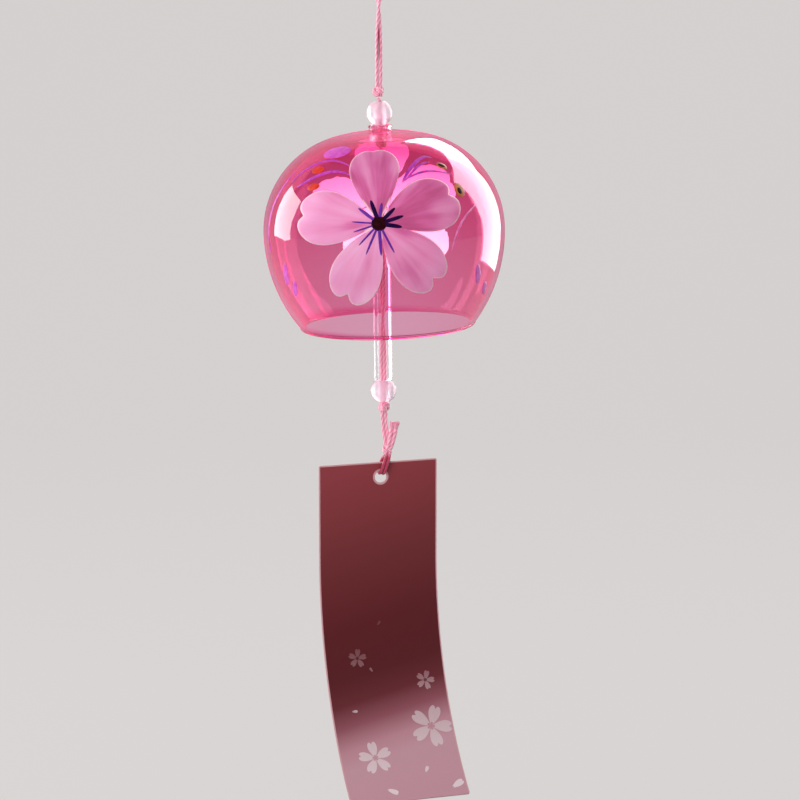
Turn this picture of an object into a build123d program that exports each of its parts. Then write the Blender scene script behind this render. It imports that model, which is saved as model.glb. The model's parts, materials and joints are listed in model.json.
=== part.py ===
"""A furin: a blown glass wind bell on a doubled cord, with a glass tube clapper and a paper strip.

The origin is the bearing point of the hanging loop, where it rests on its hook. +Z is up, the front is
towards -Y, and everything hangs below. Lengths are in millimetres and angles in degrees. The bell leans a
little on its cord, and so does the clapper, so each has a plane of its own whose Y axis is its upward axis.
"""

import os
from math import acos, asin, atan2, cos, degrees, hypot, pi, radians, sin, sqrt, tan

from build123d import *

# Cord: satin cord, used doubled
cord_diameter = 1.1
strand_gap = 0.1
knot_width = 4.2
knot_height = 3.4
knot_wrap_diameter = 1.3
knot_wrap_tilt = 24
knot_play = 0.1
bend_play = 0.65

# Hanging loop
hang_drop = 41.7
eye_width = 6.8
eye_height = 7.1
slit_width = 1.75
slit_waist = 1.6
slit_low_share = 0.80
slit_high_share = 0.61
crossing_share = 0.395
crossing_width = 0.56
crossing_depth = 1.3

# Beads
bead_diameter = 8.3
bead_height = 7.4
bead_bore = 2.8
bead_edge_round = 0.25
bead_drop = 1.4
bead_play = 0.15

# Glass bell
bell_diameter = 78.0
crown_height = 32.3
shoulder_radius = 31.3
skirt_radius = 50.0
skirt_height = 31.0
glass_wall = 1.2
mouth_lip_diameter = 1.6
bell_lean = 2.2

# Neck of the bell and the clear bush in it
neck_bore = 5.8
neck_wall = 0.6
neck_height = 1.65
neck_lip_diameter = 1.0
neck_root_round = 0.5
bush_play = 0.1
bush_shoulder_diameter = 7.2
bush_shoulder_height = 1.8
bush_bore = 2.8
bush_lip_gap = 0.25
bush_edge_round = 0.3
knot_seat_play = 0.2
knot_seat_depth = 1.2

# Clapper
tube_length = 64.0
tube_diameter = 5.9
tube_bore = 4.0
tube_end_round = 0.4
tube_drop = 11.7
tube_play = 0.15
clapper_lean = 0.6
strike_play = 0.3

# Cord between the clapper and the strip
tie_knot_drop = 12.3
tie_knot_side = 1.15
tie_knot_width = 3.5
tie_knot_height = 3.0
strand_bow = 0.35
loop_side = 2.45
loop_spread = 1.8
loop_turn_spread = 1.15
loop_foot_side = 0.2
hole_play = 0.15
loop_end_play = 0.45
tail_length = 8.4
tail_side = 1.0
tail_front = 1.3
tail_side_lean = 8.5
tail_front_lean = 3.0
tail_fan = 2.6
tail_tip_diameter = 1.5
tail_tip_round = 0.45

# Strip
strip_width = 40.6
strip_length = 114.7
strip_thickness = 0.5
strip_straight = 31.0
strip_bend_radius = 99.0
strip_yaw = 18.8
strip_corner_round = 0.6
strip_gap = 2.6
hole_diameter = 4.0
hole_drop = 4.9
hole_side = 0.85

# How far a cut runs past the piece it cuts
overrun = 1.0

cord_radius = cord_diameter / 2
strand_offset = (cord_diameter + strand_gap) / 2
half_knot = knot_height / 2
half_bead = bead_height / 2
half_tie_knot = tie_knot_height / 2
pieces = {}


def leaned(origin, lean):
    """The upright plane at the origin whose Y axis is the upward axis, with its foot turned towards +X."""
    tilt = radians(lean)
    return Plane(origin=origin, x_dir=(cos(tilt), 0, sin(tilt)), z_dir=(0, -1, 0))


def seat(plane, height):
    """The same upright plane, moved to a height on its own upward axis."""
    return Plane(origin=plane.from_local_coords((0, height, 0)), x_dir=plane.x_dir, z_dir=plane.z_dir)


def level(plane, height):
    """The cross plane at a height on a leaned plane's upward axis, facing up."""
    return Plane(origin=plane.from_local_coords((0, height, 0)), x_dir=plane.x_dir, z_dir=plane.y_dir)


def up_axis(plane):
    """The upward axis of a leaned plane."""
    return Axis(plane.origin, plane.y_dir)


def corner_radii(points):
    """The largest tangent arc at each inner point: a share of the shorter run over tan(half the turn)."""
    arc_share = 0.45
    radii = []
    for before, corner, after in zip(points, points[1:], points[2:]):
        run_in = Vector(*corner) - Vector(*before)
        run_out = Vector(*after) - Vector(*corner)
        half_turn = radians(run_in.get_angle(run_out)) / 2
        radii.append(arc_share * min(run_in.length, run_out.length) / tan(half_turn))
    return radii


def report_tube(label, part, lines):
    """Print a cord's length and its volume over its section times its length."""
    length = sum(line.length for line in lines)
    share = part.volume / (pi * cord_radius**2 * length)
    print(f"{label}: strand length {length:.2f}, volume share {share:.4f}")


# Hanging loop: the doubled cord, twisted once about itself, with an eye for the hook
slit_half = slit_width / 2
waist_half = slit_waist / 2
eye_half = eye_width / 2
loop_points = [
    (-strand_offset, 0, -hang_drop + knot_play),
    (-slit_half, 0, -hang_drop * slit_low_share),
    (-waist_half, 0, -hang_drop * slit_high_share),
    (-crossing_width / 2, -crossing_depth / 2, -hang_drop * crossing_share),
    (eye_half, 0, -eye_height),
    (eye_half - cord_radius, 0, cord_radius),
    (-eye_half + cord_radius, 0, cord_radius),
    (-eye_half, 0, -eye_height),
    (crossing_width / 2, crossing_depth / 2, -hang_drop * crossing_share),
    (waist_half, 0, -hang_drop * slit_high_share),
    (slit_half, 0, -hang_drop * slit_low_share),
    (strand_offset, 0, -hang_drop + knot_play),
]
loop_radii = corner_radii(loop_points)
print("hanging loop radii", [round(radius, 1) for radius in loop_radii])
with BuildPart() as hanging_loop:
    with BuildLine() as loop_line:
        FilletPolyline(*loop_points, radius=loop_radii)
    loop_wire = loop_line.wire()
    with BuildSketch(Plane(origin=loop_wire @ 0, z_dir=loop_wire % 0)):
        Circle(cord_radius)
    sweep(path=loop_wire)
pieces["hanging_loop"] = hanging_loop.part
report_tube("hanging loop", hanging_loop.part, [loop_wire])

# Stations: the bell swings just under the upper knot, and its pieces are placed along its own axis
upper_knot_z = -hang_drop - half_knot
bell_swing_z = upper_knot_z - half_knot - knot_play
bell_plane = leaned((0, 0, bell_swing_z), bell_lean)
upper_bead_at = -bead_drop - half_bead
neck_top_at = upper_bead_at - half_bead - bead_play
apex_at = neck_top_at - neck_height

# The glass is three arcs that run on smoothly: a flat crown, a round shoulder and a skirt that draws in
shoulder_x = bell_diameter / 2 - shoulder_radius
skirt_x = bell_diameter / 2 - skirt_radius
crown_radius = (shoulder_x**2 + crown_height**2 - shoulder_radius**2) / (2 * (crown_height - shoulder_radius))
crown_turn = degrees(atan2(crown_radius - crown_height, shoulder_x))
skirt_turn = degrees(asin(skirt_height / skirt_radius))
neck_turn = degrees(acos((neck_bore + neck_wall) / 2 / crown_radius))
lip_run = skirt_radius - glass_wall / 2
lip_centre = (skirt_x + lip_run * cos(radians(skirt_turn)), -crown_height - lip_run * sin(radians(skirt_turn)))
inner_crown = crown_radius - glass_wall
neck_foot = sqrt(inner_crown**2 - (neck_bore / 2) ** 2) - crown_radius
apex_seat = seat(bell_plane, apex_at)

with BuildPart() as glass_bell:
    with BuildSketch(apex_seat):
        with BuildLine():
            ends = []
            for depth in (0, glass_wall):
                crown = CenterArc((0, -crown_radius), crown_radius - depth, neck_turn, crown_turn - neck_turn)
                CenterArc((shoulder_x, -crown_height), shoulder_radius - depth, crown_turn, -crown_turn)
                skirt = CenterArc((skirt_x, -crown_height), skirt_radius - depth, 0, -skirt_turn)
                ends.append((crown @ 0, skirt @ 1))
            Line(ends[0][0], ends[1][0])
            Line(ends[0][1], ends[1][1])
        make_face()
        with Locations(lip_centre):
            Circle(mouth_lip_diameter / 2)
        with Locations((neck_bore / 2, neck_foot)):
            Rectangle(neck_wall, neck_height - neck_lip_diameter / 2 - neck_foot, align=(Align.MIN, Align.MIN))
        with Locations(((neck_bore + neck_lip_diameter) / 2, neck_height - neck_lip_diameter / 2)):
            Circle(neck_lip_diameter / 2)
    revolve(axis=up_axis(bell_plane))
    neck_outer = neck_bore / 2 + neck_wall
    neck_root = glass_bell.edges().filter_by(GeomType.CIRCLE).filter_by(
        lambda edge: abs(edge.radius - neck_outer) < neck_root_round / 10
    )
    fillet(neck_root.sort_by(up_axis(bell_plane))[0], radius=neck_root_round)
pieces["glass_bell"] = glass_bell.part

# Bush: a shoulder under the glass and a spigot in the neck, bored for the cord, with a seat for the knot
bush_top = sqrt(inner_crown**2 - (bush_shoulder_diameter / 2) ** 2) - crown_radius - bush_play
bush_foot = bush_top - bush_shoulder_height
knot_seat_diameter = knot_width + 2 * knot_seat_play
with BuildPart() as neck_stopper:
    with BuildSketch(level(apex_seat, bush_foot)):
        Circle(bush_shoulder_diameter / 2)
    extrude(amount=bush_shoulder_height)
    with BuildSketch(level(apex_seat, bush_top)):
        Circle(neck_bore / 2 - bush_play)
    extrude(amount=neck_height - bush_lip_gap - bush_top)
    fillet(neck_stopper.edges().filter_by(GeomType.CIRCLE), radius=bush_edge_round)
    with BuildSketch(level(apex_seat, bush_foot - overrun)):
        Circle(knot_seat_diameter / 2)
    extrude(amount=overrun + knot_seat_depth, mode=Mode.SUBTRACT)
    with BuildSketch(level(apex_seat, bush_foot)):
        Circle(bush_bore / 2)
    extrude(amount=neck_height - bush_foot, mode=Mode.SUBTRACT)
pieces["neck_stopper"] = neck_stopper.part

# The knot in the bush, where the clapper turns, and its swing point just below
bell_knot_at = apex_at + bush_foot + knot_seat_depth - knot_play - half_knot
clapper_swing_at = bell_knot_at - half_knot - knot_play
clapper_plane = leaned(bell_plane.from_local_coords((0, clapper_swing_at, 0)), clapper_lean)

# The two strands from the upper knot through the bead and the bush
strands_top = -bend_play
strands_foot = bell_knot_at + half_knot + knot_play
with BuildPart() as bead_strands:
    with BuildSketch(level(bell_plane, strands_foot)):
        with Locations((-strand_offset, 0), (strand_offset, 0)):
            Circle(cord_radius)
    extrude(amount=strands_top - strands_foot)
pieces["bead_strands"] = bead_strands.part

# The tube stands on the bead: its rounded inner edge clears the bead's sphere by the play
tube_foot_at = -tube_drop - tube_length
seat_run = bead_diameter / 2 + tube_play + tube_end_round
tube_seat = sqrt(seat_run**2 - (tube_bore / 2 + tube_end_round) ** 2) - tube_end_round
with BuildPart() as glass_tube:
    with BuildSketch(level(clapper_plane, tube_foot_at)):
        Circle(tube_diameter / 2)
        Circle(tube_bore / 2, mode=Mode.SUBTRACT)
    extrude(amount=tube_length)
    fillet(glass_tube.edges().filter_by(GeomType.CIRCLE), radius=tube_end_round)
pieces["glass_tube"] = glass_tube.part

lower_bead_at = tube_foot_at - tube_seat
lower_knot_at = lower_bead_at - half_bead - bead_play - half_knot
strip_swing_at = lower_knot_at - half_knot - knot_play

with BuildPart() as clapper_strands:
    with BuildSketch(level(clapper_plane, lower_knot_at + half_knot + knot_play)):
        with Locations((-strand_offset, 0), (strand_offset, 0)):
            Circle(cord_radius)
    extrude(amount=-bend_play - lower_knot_at - half_knot - knot_play)
pieces["clapper_strands"] = clapper_strands.part

# Beads: a ball with drilled, flattened ends
bead_seats = {"upper_bead": seat(bell_plane, upper_bead_at), "lower_bead": seat(clapper_plane, lower_bead_at)}
for name, bead_seat in bead_seats.items():
    with BuildPart() as bead:
        with BuildSketch(bead_seat):
            Circle(bead_diameter / 2)
            with Locations((bead_bore / 2, 0)):
                Rectangle(bead_diameter, bead_height, align=(Align.MIN, Align.CENTER), mode=Mode.INTERSECT)
        revolve(axis=up_axis(bead_seat))
        bore_edges = bead.edges().filter_by(GeomType.CIRCLE).sort_by(SortBy.RADIUS)[:2]
        fillet(bore_edges, radius=bead_edge_round)
    pieces[name] = bead.part

# Knots: a barrel of wound cord with flat ends where the strands meet it, and one turn laid across it
strip_swing_point = clapper_plane.from_local_coords((0, strip_swing_at, 0))
tie_knot_point = strip_swing_point + Vector(tie_knot_side, 0, -tie_knot_drop)
knot_seats = {
    "upper_knot": (leaned((0, 0, upper_knot_z), 0), knot_width, knot_height),
    "bell_knot": (seat(bell_plane, bell_knot_at), knot_width, knot_height),
    "lower_knot": (seat(clapper_plane, lower_knot_at), knot_width, knot_height),
    "tie_knot": (leaned(tie_knot_point, 0), tie_knot_width, tie_knot_height),
}
for name, (knot_seat, width, height) in knot_seats.items():
    wrap_radius = knot_wrap_diameter / 2
    end_radius = strand_offset + cord_radius
    waist_radius = width / 2 - wrap_radius / 2
    with BuildPart() as knot:
        with BuildSketch(knot_seat):
            with BuildLine():
                ThreePointArc((end_radius, height / 2), (waist_radius, 0), (end_radius, -height / 2))
                Polyline(
                    (end_radius, -height / 2), (0, -height / 2), (0, height / 2), (end_radius, height / 2)
                )
            make_face()
        revolve(axis=up_axis(knot_seat))
        with Locations(level(knot_seat, 0)):
            Torus(width / 2 - wrap_radius, wrap_radius, rotation=(knot_wrap_tilt, 0, 0))
    pieces[name] = knot.part

# The strip hangs from its hole, turned to one side, and curls towards its front
yaw = radians(strip_yaw)
across = Vector(cos(yaw), sin(yaw), 0)
front = Vector(sin(yaw), -cos(yaw), 0)
hole_point = tie_knot_point - across * loop_side - Vector(0, 0, half_tie_knot + strip_gap + hole_drop)
hole_plane = Plane(origin=hole_point, x_dir=across, z_dir=front)
strip_top = hole_plane.from_local_coords((-hole_side, hole_drop, 0))
side_plane = Plane(origin=strip_top, x_dir=front, z_dir=-across)
strip_bend = degrees((strip_length - strip_straight) / strip_bend_radius)
half_sheet = strip_thickness / 2

with BuildPart() as strip:
    with BuildSketch(side_plane):
        with BuildLine():
            ends = []
            for face_x in (-half_sheet, half_sheet):
                Line((face_x, 0), (face_x, -strip_straight))
                curl = CenterArc((strip_bend_radius, -strip_straight), strip_bend_radius - face_x, 180, strip_bend)
                ends.append(curl @ 1)
            Line((-half_sheet, 0), (half_sheet, 0))
            Line(ends[0], ends[1])
        make_face()
    extrude(amount=strip_width / 2, both=True)
    corners = strip.edges().filter_by(lambda edge: abs(edge.length - strip_thickness) < strip_thickness / 10)
    fillet(corners, radius=strip_corner_round)
    with BuildSketch(hole_plane.offset(-overrun)):
        Circle(hole_diameter / 2)
    extrude(amount=2 * overrun, mode=Mode.SUBTRACT)
pieces["strip"] = strip.part

# The two standing strands, bowed a little apart, from the lower knot to the tie knot
strand_lines = []
with BuildPart() as strip_strands:
    for side in (-1, 1):
        start = strip_swing_point + Vector(side * strand_offset, 0, -bend_play)
        end = tie_knot_point + Vector(side * strand_offset, 0, half_tie_knot + knot_play)
        middle = (start + end) / 2 + Vector(side * strand_bow, 0, 0)
        points = [start, middle, end]
        with BuildLine() as strand_line:
            FilletPolyline(*points, radius=corner_radii(points))
        strand_wire = strand_line.wire()
        with BuildSketch(Plane(origin=strand_wire @ 0, z_dir=strand_wire % 0)):
            Circle(cord_radius)
        sweep(path=strand_wire)
        strand_lines.append(strand_wire)
pieces["strip_strands"] = strip_strands.part
report_tube("strip strands", strip_strands.part, strand_lines)

# The doubled loop: down behind the strip, through its hole, and up in front to the knot
hole_reach = hole_diameter / 2 - cord_radius - hole_play
knot_foot = hole_drop + strip_gap - loop_end_play
loop_lines = []
with BuildPart() as strip_loop:
    for side in (-1, 1):
        shift = side * strand_offset
        foot_x = loop_foot_side + shift
        foot_y = sqrt(hole_reach**2 - foot_x**2)
        half_path = [
            (loop_side + shift, knot_foot, strand_offset),
            ((loop_side + loop_foot_side) / 2 + shift, hole_drop, loop_spread),
            (foot_x, foot_y, loop_turn_spread),
        ]
        behind = [hole_plane.from_local_coords((x, y, -depth)) for x, y, depth in half_path]
        before = [hole_plane.from_local_coords(point) for point in reversed(half_path)]
        points = behind + before
        turn_radii = corner_radii(points)
        print("strip loop radii", [round(radius, 2) for radius in turn_radii])
        with BuildLine() as turn_line:
            FilletPolyline(*points, radius=turn_radii)
        turn_wire = turn_line.wire()
        with BuildSketch(Plane(origin=turn_wire @ 0, z_dir=turn_wire % 0)):
            Circle(cord_radius)
        sweep(path=turn_wire)
        loop_lines.append(turn_wire)
pieces["strip_loop"] = strip_loop.part
report_tube("strip loop", strip_loop.part, loop_lines)

# The two cut ends stand out of the tie knot, side by side, and fray a little towards their tips
with BuildPart() as cord_tails:
    for side in (-1, 1):
        base = tie_knot_point + Vector(tail_side + side * strand_offset, -tail_front, half_tie_knot + knot_play)
        side_slope = tan(radians(tail_side_lean + side * tail_fan))
        direction = Vector(side_slope, -tan(radians(tail_front_lean)), 1)
        tail_plane = Plane(origin=base, z_dir=direction)
        with BuildSketch(tail_plane):
            Circle(cord_radius)
        with BuildSketch(tail_plane.offset(tail_length)):
            Circle(tail_tip_diameter / 2)
        loft()
        tip = cord_tails.edges().filter_by(GeomType.CIRCLE).sort_by_distance(base + direction * tail_length)[0]
        fillet(tip, radius=tail_tip_round)
pieces["cord_tails"] = cord_tails.part

# The tube strikes where its side meets the mouth's inner lip, seen from the clapper's swing point
lip_inner = lip_centre[0] - mouth_lip_diameter / 2
lip_below = clapper_swing_at - apex_at - lip_centre[1]
strike_reach = hypot(lip_inner, lip_below)
strike_angle = degrees(atan2(lip_inner, lip_below) - asin((tube_diameter / 2 + strike_play) / strike_reach))
print(f"strike angle from the bell's axis {strike_angle:.2f}")
print("bell swing point", bell_plane.origin, "axis", bell_plane.y_dir)
print("clapper swing point", clapper_plane.origin, "axis", clapper_plane.y_dir)
print("strip swing point", strip_swing_point, "tie knot", tie_knot_point)
print("hole centre", hole_point, "across", across, "front", front)
print("free cord above the tube", tube_drop, "lift room", tube_drop - bend_play)

os.makedirs("parts", exist_ok=True)
for name, piece in pieces.items():
    piece.label = name
    export_step(piece, f"parts/{name}.step")
print(len(pieces), "pieces written")
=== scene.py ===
# %% [markdown]
# # A furin, the Japanese glass wind bell
#
# The real object is a blown bell of pink glass, painted by hand with two cherry blossoms. It hangs on a
# doubled satin cord. A glass tube hangs inside it and strikes the lip of its mouth when the wind catches the
# printed strip below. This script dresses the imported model: it keeps the glass, the beads, the bush and the
# strip, which have the right shape already, and winds the cords and lays the paint as new surfaces.

import json
from math import cos, pi, radians, sin

import bmesh
import bpy
import numpy as np
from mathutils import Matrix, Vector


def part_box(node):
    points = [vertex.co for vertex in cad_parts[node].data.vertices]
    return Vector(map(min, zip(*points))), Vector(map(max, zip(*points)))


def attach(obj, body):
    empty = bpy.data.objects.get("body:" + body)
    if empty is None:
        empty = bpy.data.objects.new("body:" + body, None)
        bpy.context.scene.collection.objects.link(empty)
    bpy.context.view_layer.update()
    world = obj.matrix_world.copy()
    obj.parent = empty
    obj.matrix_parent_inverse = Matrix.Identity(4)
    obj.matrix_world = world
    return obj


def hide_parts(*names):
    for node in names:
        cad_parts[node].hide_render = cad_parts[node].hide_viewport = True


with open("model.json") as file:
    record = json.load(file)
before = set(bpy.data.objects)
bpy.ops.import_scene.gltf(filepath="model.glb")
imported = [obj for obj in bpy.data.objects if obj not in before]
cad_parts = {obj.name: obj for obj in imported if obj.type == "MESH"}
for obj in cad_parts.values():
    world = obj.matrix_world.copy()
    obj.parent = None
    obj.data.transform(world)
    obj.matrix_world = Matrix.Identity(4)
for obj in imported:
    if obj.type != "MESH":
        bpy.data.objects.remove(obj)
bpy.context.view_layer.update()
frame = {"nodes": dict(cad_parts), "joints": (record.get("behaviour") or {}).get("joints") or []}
nodes = frame["nodes"]
joints = {joint["name"]: joint for joint in frame["joints"]}
mm = 0.001
up = np.array([0, 0, 1.0])

# %% [markdown]
# ## The camera
#
# The photograph was taken from about a metre away with a long lens that looks a little down. The mouth of the
# bell gives that pitch away: it is a circle, and it shows as a flat ellipse. A real lens is given in
# millimetres on a sensor 36 mm wide, so the focal length in pixels is turned into that.

# %% Camera
aim = np.array([6.76, 0, -144]) * mm
camera_distance = 1.0
camera_pitch = radians(10.7)
focal_px = 3064
picture_px = 800

camera = bpy.data.objects.new("camera", bpy.data.cameras.new("camera"))
bpy.context.scene.collection.objects.link(camera)
camera.data.sensor_width = 36
camera.data.lens = camera.data.sensor_width * focal_px / picture_px
camera.location = aim + camera_distance * np.array([0, -cos(camera_pitch), sin(camera_pitch)])
camera.rotation_euler = (pi / 2 - camera_pitch, 0, 0)
bpy.context.scene.camera = camera
bpy.context.scene.view_settings.view_transform = "Standard"
print("lens", round(camera.data.lens, 1), "mm")

# %% [markdown]
# ## Shells from grids of points
#
# Nearly every new piece is a grid of points: a ring carried along a path makes a cord, and two sheets a hair
# apart make a layer of paint. Each shell is closed, so that it prints and refracts as a real body does.


# %% Grids, tubes and slabs
def unit(vectors):
    """Each vector over its own length."""
    return vectors / np.linalg.norm(vectors, axis=-1, keepdims=True)


def grid_corners(rows, columns, around=False):
    """The four (row, column) corners of each cell of a grid; around adds the cells that close each row."""
    row, column = np.meshgrid(np.arange(rows - 1), np.arange(columns - (not around)), indexing="ij")
    corners = [(row, column), (row, column + 1), (row + 1, column + 1), (row + 1, column)]
    return np.stack([np.stack(corner, -1) for corner in corners], -2).reshape(-1, 4, 2)


def path_frame(path, at, reference):
    """The side and the lift directions along a path: side = tangent x reference, lift = side x tangent."""
    tangent = unit(np.gradient(path, at, axis=0))
    side = unit(np.cross(tangent, reference))
    return side, np.cross(side, tangent)


def run_along(path):
    """The distance of each point of a path from its start."""
    return np.concatenate([[0], np.cumsum(np.linalg.norm(np.diff(path, axis=0), axis=1))])


def tube_shell(path, radius, reference, sides=14):
    """A round skin: centre + radius (side cos a + lift sin a).

    The last few rings shrink as a half circle does, sqrt(1 - (1 - d / r)^2) at the distance d from the end,
    and one small face closes each end. The UV is the length along the cord in mm and the share of a turn.
    """
    smallest_ring = 0.12
    along = run_along(path)
    radius = np.broadcast_to(radius, along.shape)
    turn = np.linspace(0.1, 1, 5) * pi / 2
    head = radius[0] * (1 - np.cos(turn))
    tail = along[-1] - radius[-1] * (1 - np.cos(turn[::-1]))
    inner = along[(along > head[-1]) & (along < tail[0])]
    at = np.concatenate([head, inner, tail])
    centre = np.stack([np.interp(at, along, path[:, axis]) for axis in range(3)], -1)
    near = np.minimum(at, along[-1] - at) / np.where(at < along[-1] / 2, radius[0], radius[-1])
    rounding = np.maximum(np.sqrt(1 - (1 - np.minimum(near, 1)) ** 2), smallest_ring)
    reach = np.interp(at, along, radius) * rounding
    side, lift = path_frame(centre, at, reference)
    angle = np.arange(sides) / sides * 2 * pi
    round_it = side[:, None] * np.cos(angle)[:, None] + lift[:, None] * np.sin(angle)[:, None]
    points = centre[:, None] + reach[:, None, None] * round_it
    corners = grid_corners(len(at), sides, around=True)
    quads = corners[..., 0] * sides + corners[..., 1] % sides
    uv = np.stack([at[corners[..., 0]] / mm, corners[..., 1] / sides], -1)
    first = np.arange(sides)
    caps = [first.tolist(), (first + (len(at) - 1) * sides).tolist()]
    cap_uv = [np.stack([np.full(sides, end / mm), first / sides], -1) for end in (at[0], at[-1])]
    return points.reshape(-1, 3), quads.tolist() + caps, np.concatenate([uv.reshape(-1, 2), *cap_uv])


def slab_shell(top, bottom, uv):
    """A closed layer between two grids of the same size: both sheets, and a wall round their rim."""
    rows, columns = top.shape[:2]
    index = np.arange(rows * columns).reshape(rows, columns)
    corners = grid_corners(rows, columns)
    sheet = corners[..., 0] * columns + corners[..., 1]
    rim = np.concatenate([index[0, :-1], index[:-1, -1], index[-1, :0:-1], index[:0:-1, 0]])
    ahead = np.roll(rim, -1)
    wall = np.stack([rim, ahead, ahead + index.size, rim + index.size], -1)
    faces = np.concatenate([sheet, sheet + index.size, wall])
    points = np.concatenate([top.reshape(-1, 3), bottom.reshape(-1, 3)])
    return points, faces.tolist(), np.concatenate([uv.reshape(-1, 2)] * 2)[faces].reshape(-1, 2)


def make_piece(name, shells, material, body, replaced=(), marks=None):
    """Join shells into one object on a body, with its normals outwards. marks are numbers on its points."""
    sharp_edge = radians(40)
    starts = np.cumsum([0] + [len(points) for points, _, _ in shells])
    faces = [
        [corner + start for corner in face] for start, shell in zip(starts, shells) for face in shell[1]
    ]
    mesh = bpy.data.meshes.new(name)
    mesh.from_pydata(np.concatenate([shell[0] for shell in shells]).tolist(), [], faces)
    uv = np.concatenate([shell[2] for shell in shells])
    mesh.uv_layers.new(name="lay").data.foreach_set("uv", uv.ravel())
    for mark, values in (marks or {}).items():
        layer = mesh.attributes.new(mark, "FLOAT", "POINT")
        layer.data.foreach_set("value", np.concatenate(values).astype(np.float32))
    shaped = bmesh.new()
    shaped.from_mesh(mesh)
    bmesh.ops.recalc_face_normals(shaped, faces=shaped.faces)
    shaped.to_mesh(mesh)
    shaped.free()
    mesh.shade_smooth()
    mesh.set_sharp_from_angle(angle=sharp_edge)
    mesh.materials.append(material)
    made = bpy.data.objects.new(name, mesh)
    bpy.context.scene.collection.objects.link(made)
    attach(made, body)
    if replaced:
        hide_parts(*replaced)
    print(name, len(mesh.vertices), "points on", body)
    return made


# %% [markdown]
# ## Adding nodes to a material
#
# A colour is written in sRGB hex, as on a paint chart, and one function turns it into the linear light that
# the renderer reckons in. One function adds a node: it sets plain values, joins the outputs of earlier nodes,
# and gives an output back for the next node.


# %% Colours and nodes
def linear(code):
    """The linear RGBA of an sRGB hex colour: the sRGB curve is straight near black and a power above it."""
    share = np.array([int(code[place : place + 2], 16) for place in (1, 3, 5)]) / 255
    return (*np.where(share <= 0.04045, share / 12.92, ((share + 0.055) / 1.055) ** 2.4), 1.0)


def add_node(tree, kind, inputs=None, output=0, **settings):
    """Add a node, and give one of its outputs. Each input is a plain value or an earlier node's output."""
    node = tree.nodes.new(f"ShaderNode{kind}")
    for name, value in settings.items():
        setattr(node, name, value)
    for socket, given in (inputs or {}).items():
        if isinstance(given, bpy.types.NodeSocket):
            tree.links.new(given, node.inputs[socket])
        else:
            node.inputs[socket].default_value = given
    return node.outputs[output]


def set_stops(colour, stops):
    """Give the ramp that a colour comes from its stops, a list of (place, hex colour)."""
    elements = colour.node.color_ramp.elements
    while len(elements) < len(stops):
        elements.new(0.5)
    for element, (place, code) in zip(elements, stops):
        element.position = place
        element.color = linear(code)


def new_material(name, **values):
    """A material with a Principled shader. values fill its sockets, with _ for each space in a name."""
    material = bpy.data.materials.new(name)
    material.use_nodes = True
    shader = material.node_tree.nodes["Principled BSDF"]
    for socket, value in values.items():
        shader.inputs[socket.replace("_", " ")].default_value = value
    return material, material.node_tree, shader


def join(node, **outputs):
    """Join outputs to a node's sockets, with _ for each space in a socket's name."""
    for socket, output in outputs.items():
        node.id_data.links.new(output, node.inputs[socket.replace("_", " ")])


def grain_at(tree, size_mm, detail=2.0):
    """A noise of this grain in mm, fixed to the object."""
    place = add_node(tree, "TexCoord", output="Object")
    return add_node(tree, "TexNoise", {"Vector": place, "Scale": 1 / (size_mm * mm), "Detail": detail})


def noise_on(tree, lay, fineness, detail):
    """A noise on the UV, which is this many times finer along each of its directions."""
    finer = add_node(tree, "Mapping", {"Vector": lay, "Scale": fineness})
    return add_node(tree, "TexNoise", {"Vector": finer, "Scale": 1.0, "Detail": detail})


def height_share(tree, low, high):
    """The share of the way from the height low to the height high, the height itself, and the place."""
    place = add_node(tree, "TexCoord", output="Object")
    height = add_node(tree, "SeparateXYZ", {0: place}, "Z")
    return add_node(tree, "MapRange", {"Value": height, "From Min": low, "From Max": high}), height, place


# %% [markdown]
# ## Satin cord
#
# The cord is rayon satin: three plies of shiny thread, twisted. The twist shows as slanting ridges: a bump
# gives their relief, and their colour is painted paler on the ridges and deeper in the grooves, a painted
# highlight and painted shade. Loose fibres give a pale bloom where the cord turns away. The ridges follow
# the UV, whose first number is the length along the cord in millimetres, so every cord has the real pitch.
# The loop that carries the strip, and the sides that the doubled cord turns to itself, get painted shade:
# each has a copy of the satin that is painted a deeper red in places.

# %% Satin cord material
ply_count = 3
ply_pitch_mm = 2.1
fibre_mm = 0.12
fibre_length_mm = 0.625
ridge_height = 0.45
fibre_height = 0.9
highest = 1.1
ply_relief = 0.07 * mm

satin, tree, shader = new_material(
    "rayon_satin", Roughness=0.38, Sheen_Weight=0.8, Sheen_Roughness=0.3, Sheen_Tint=linear("#ffe4ec")
)
lay = add_node(tree, "UVMap", uv_map="lay")
twist = (2 * pi / ply_pitch_mm, 2 * pi * ply_count, 0)
phase = add_node(tree, "VectorMath", {0: lay, 1: twist}, "Value", operation="DOT_PRODUCT")
wave = add_node(tree, "Math", {0: phase}, operation="SINE")
ridge = add_node(tree, "Math", {0: wave, 1: ridge_height}, operation="MULTIPLY")
fibres = noise_on(tree, lay, (1 / fibre_length_mm, 1 / fibre_mm, 1), 2.0)
height = add_node(tree, "Math", {0: fibres, 1: fibre_height, 2: ridge}, operation="MULTIPLY_ADD")
# painted highlight and painted shade: the colour follows the relief, paler on the ridges, deeper in the
# grooves
shade = add_node(tree, "MapRange", {"Value": height, "From Min": -ridge_height, "From Max": highest})
colour = add_node(tree, "ValToRGB", {"Fac": shade})
set_stops(colour, [(0, "#d0587e"), (0.35, "#ea8cab"), (1, "#ffc8d8")])
relief = add_node(tree, "Bump", {"Height": height, "Strength": 0.25, "Distance": ply_relief})
join(shader, Base_Color=colour, Normal=relief)


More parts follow.
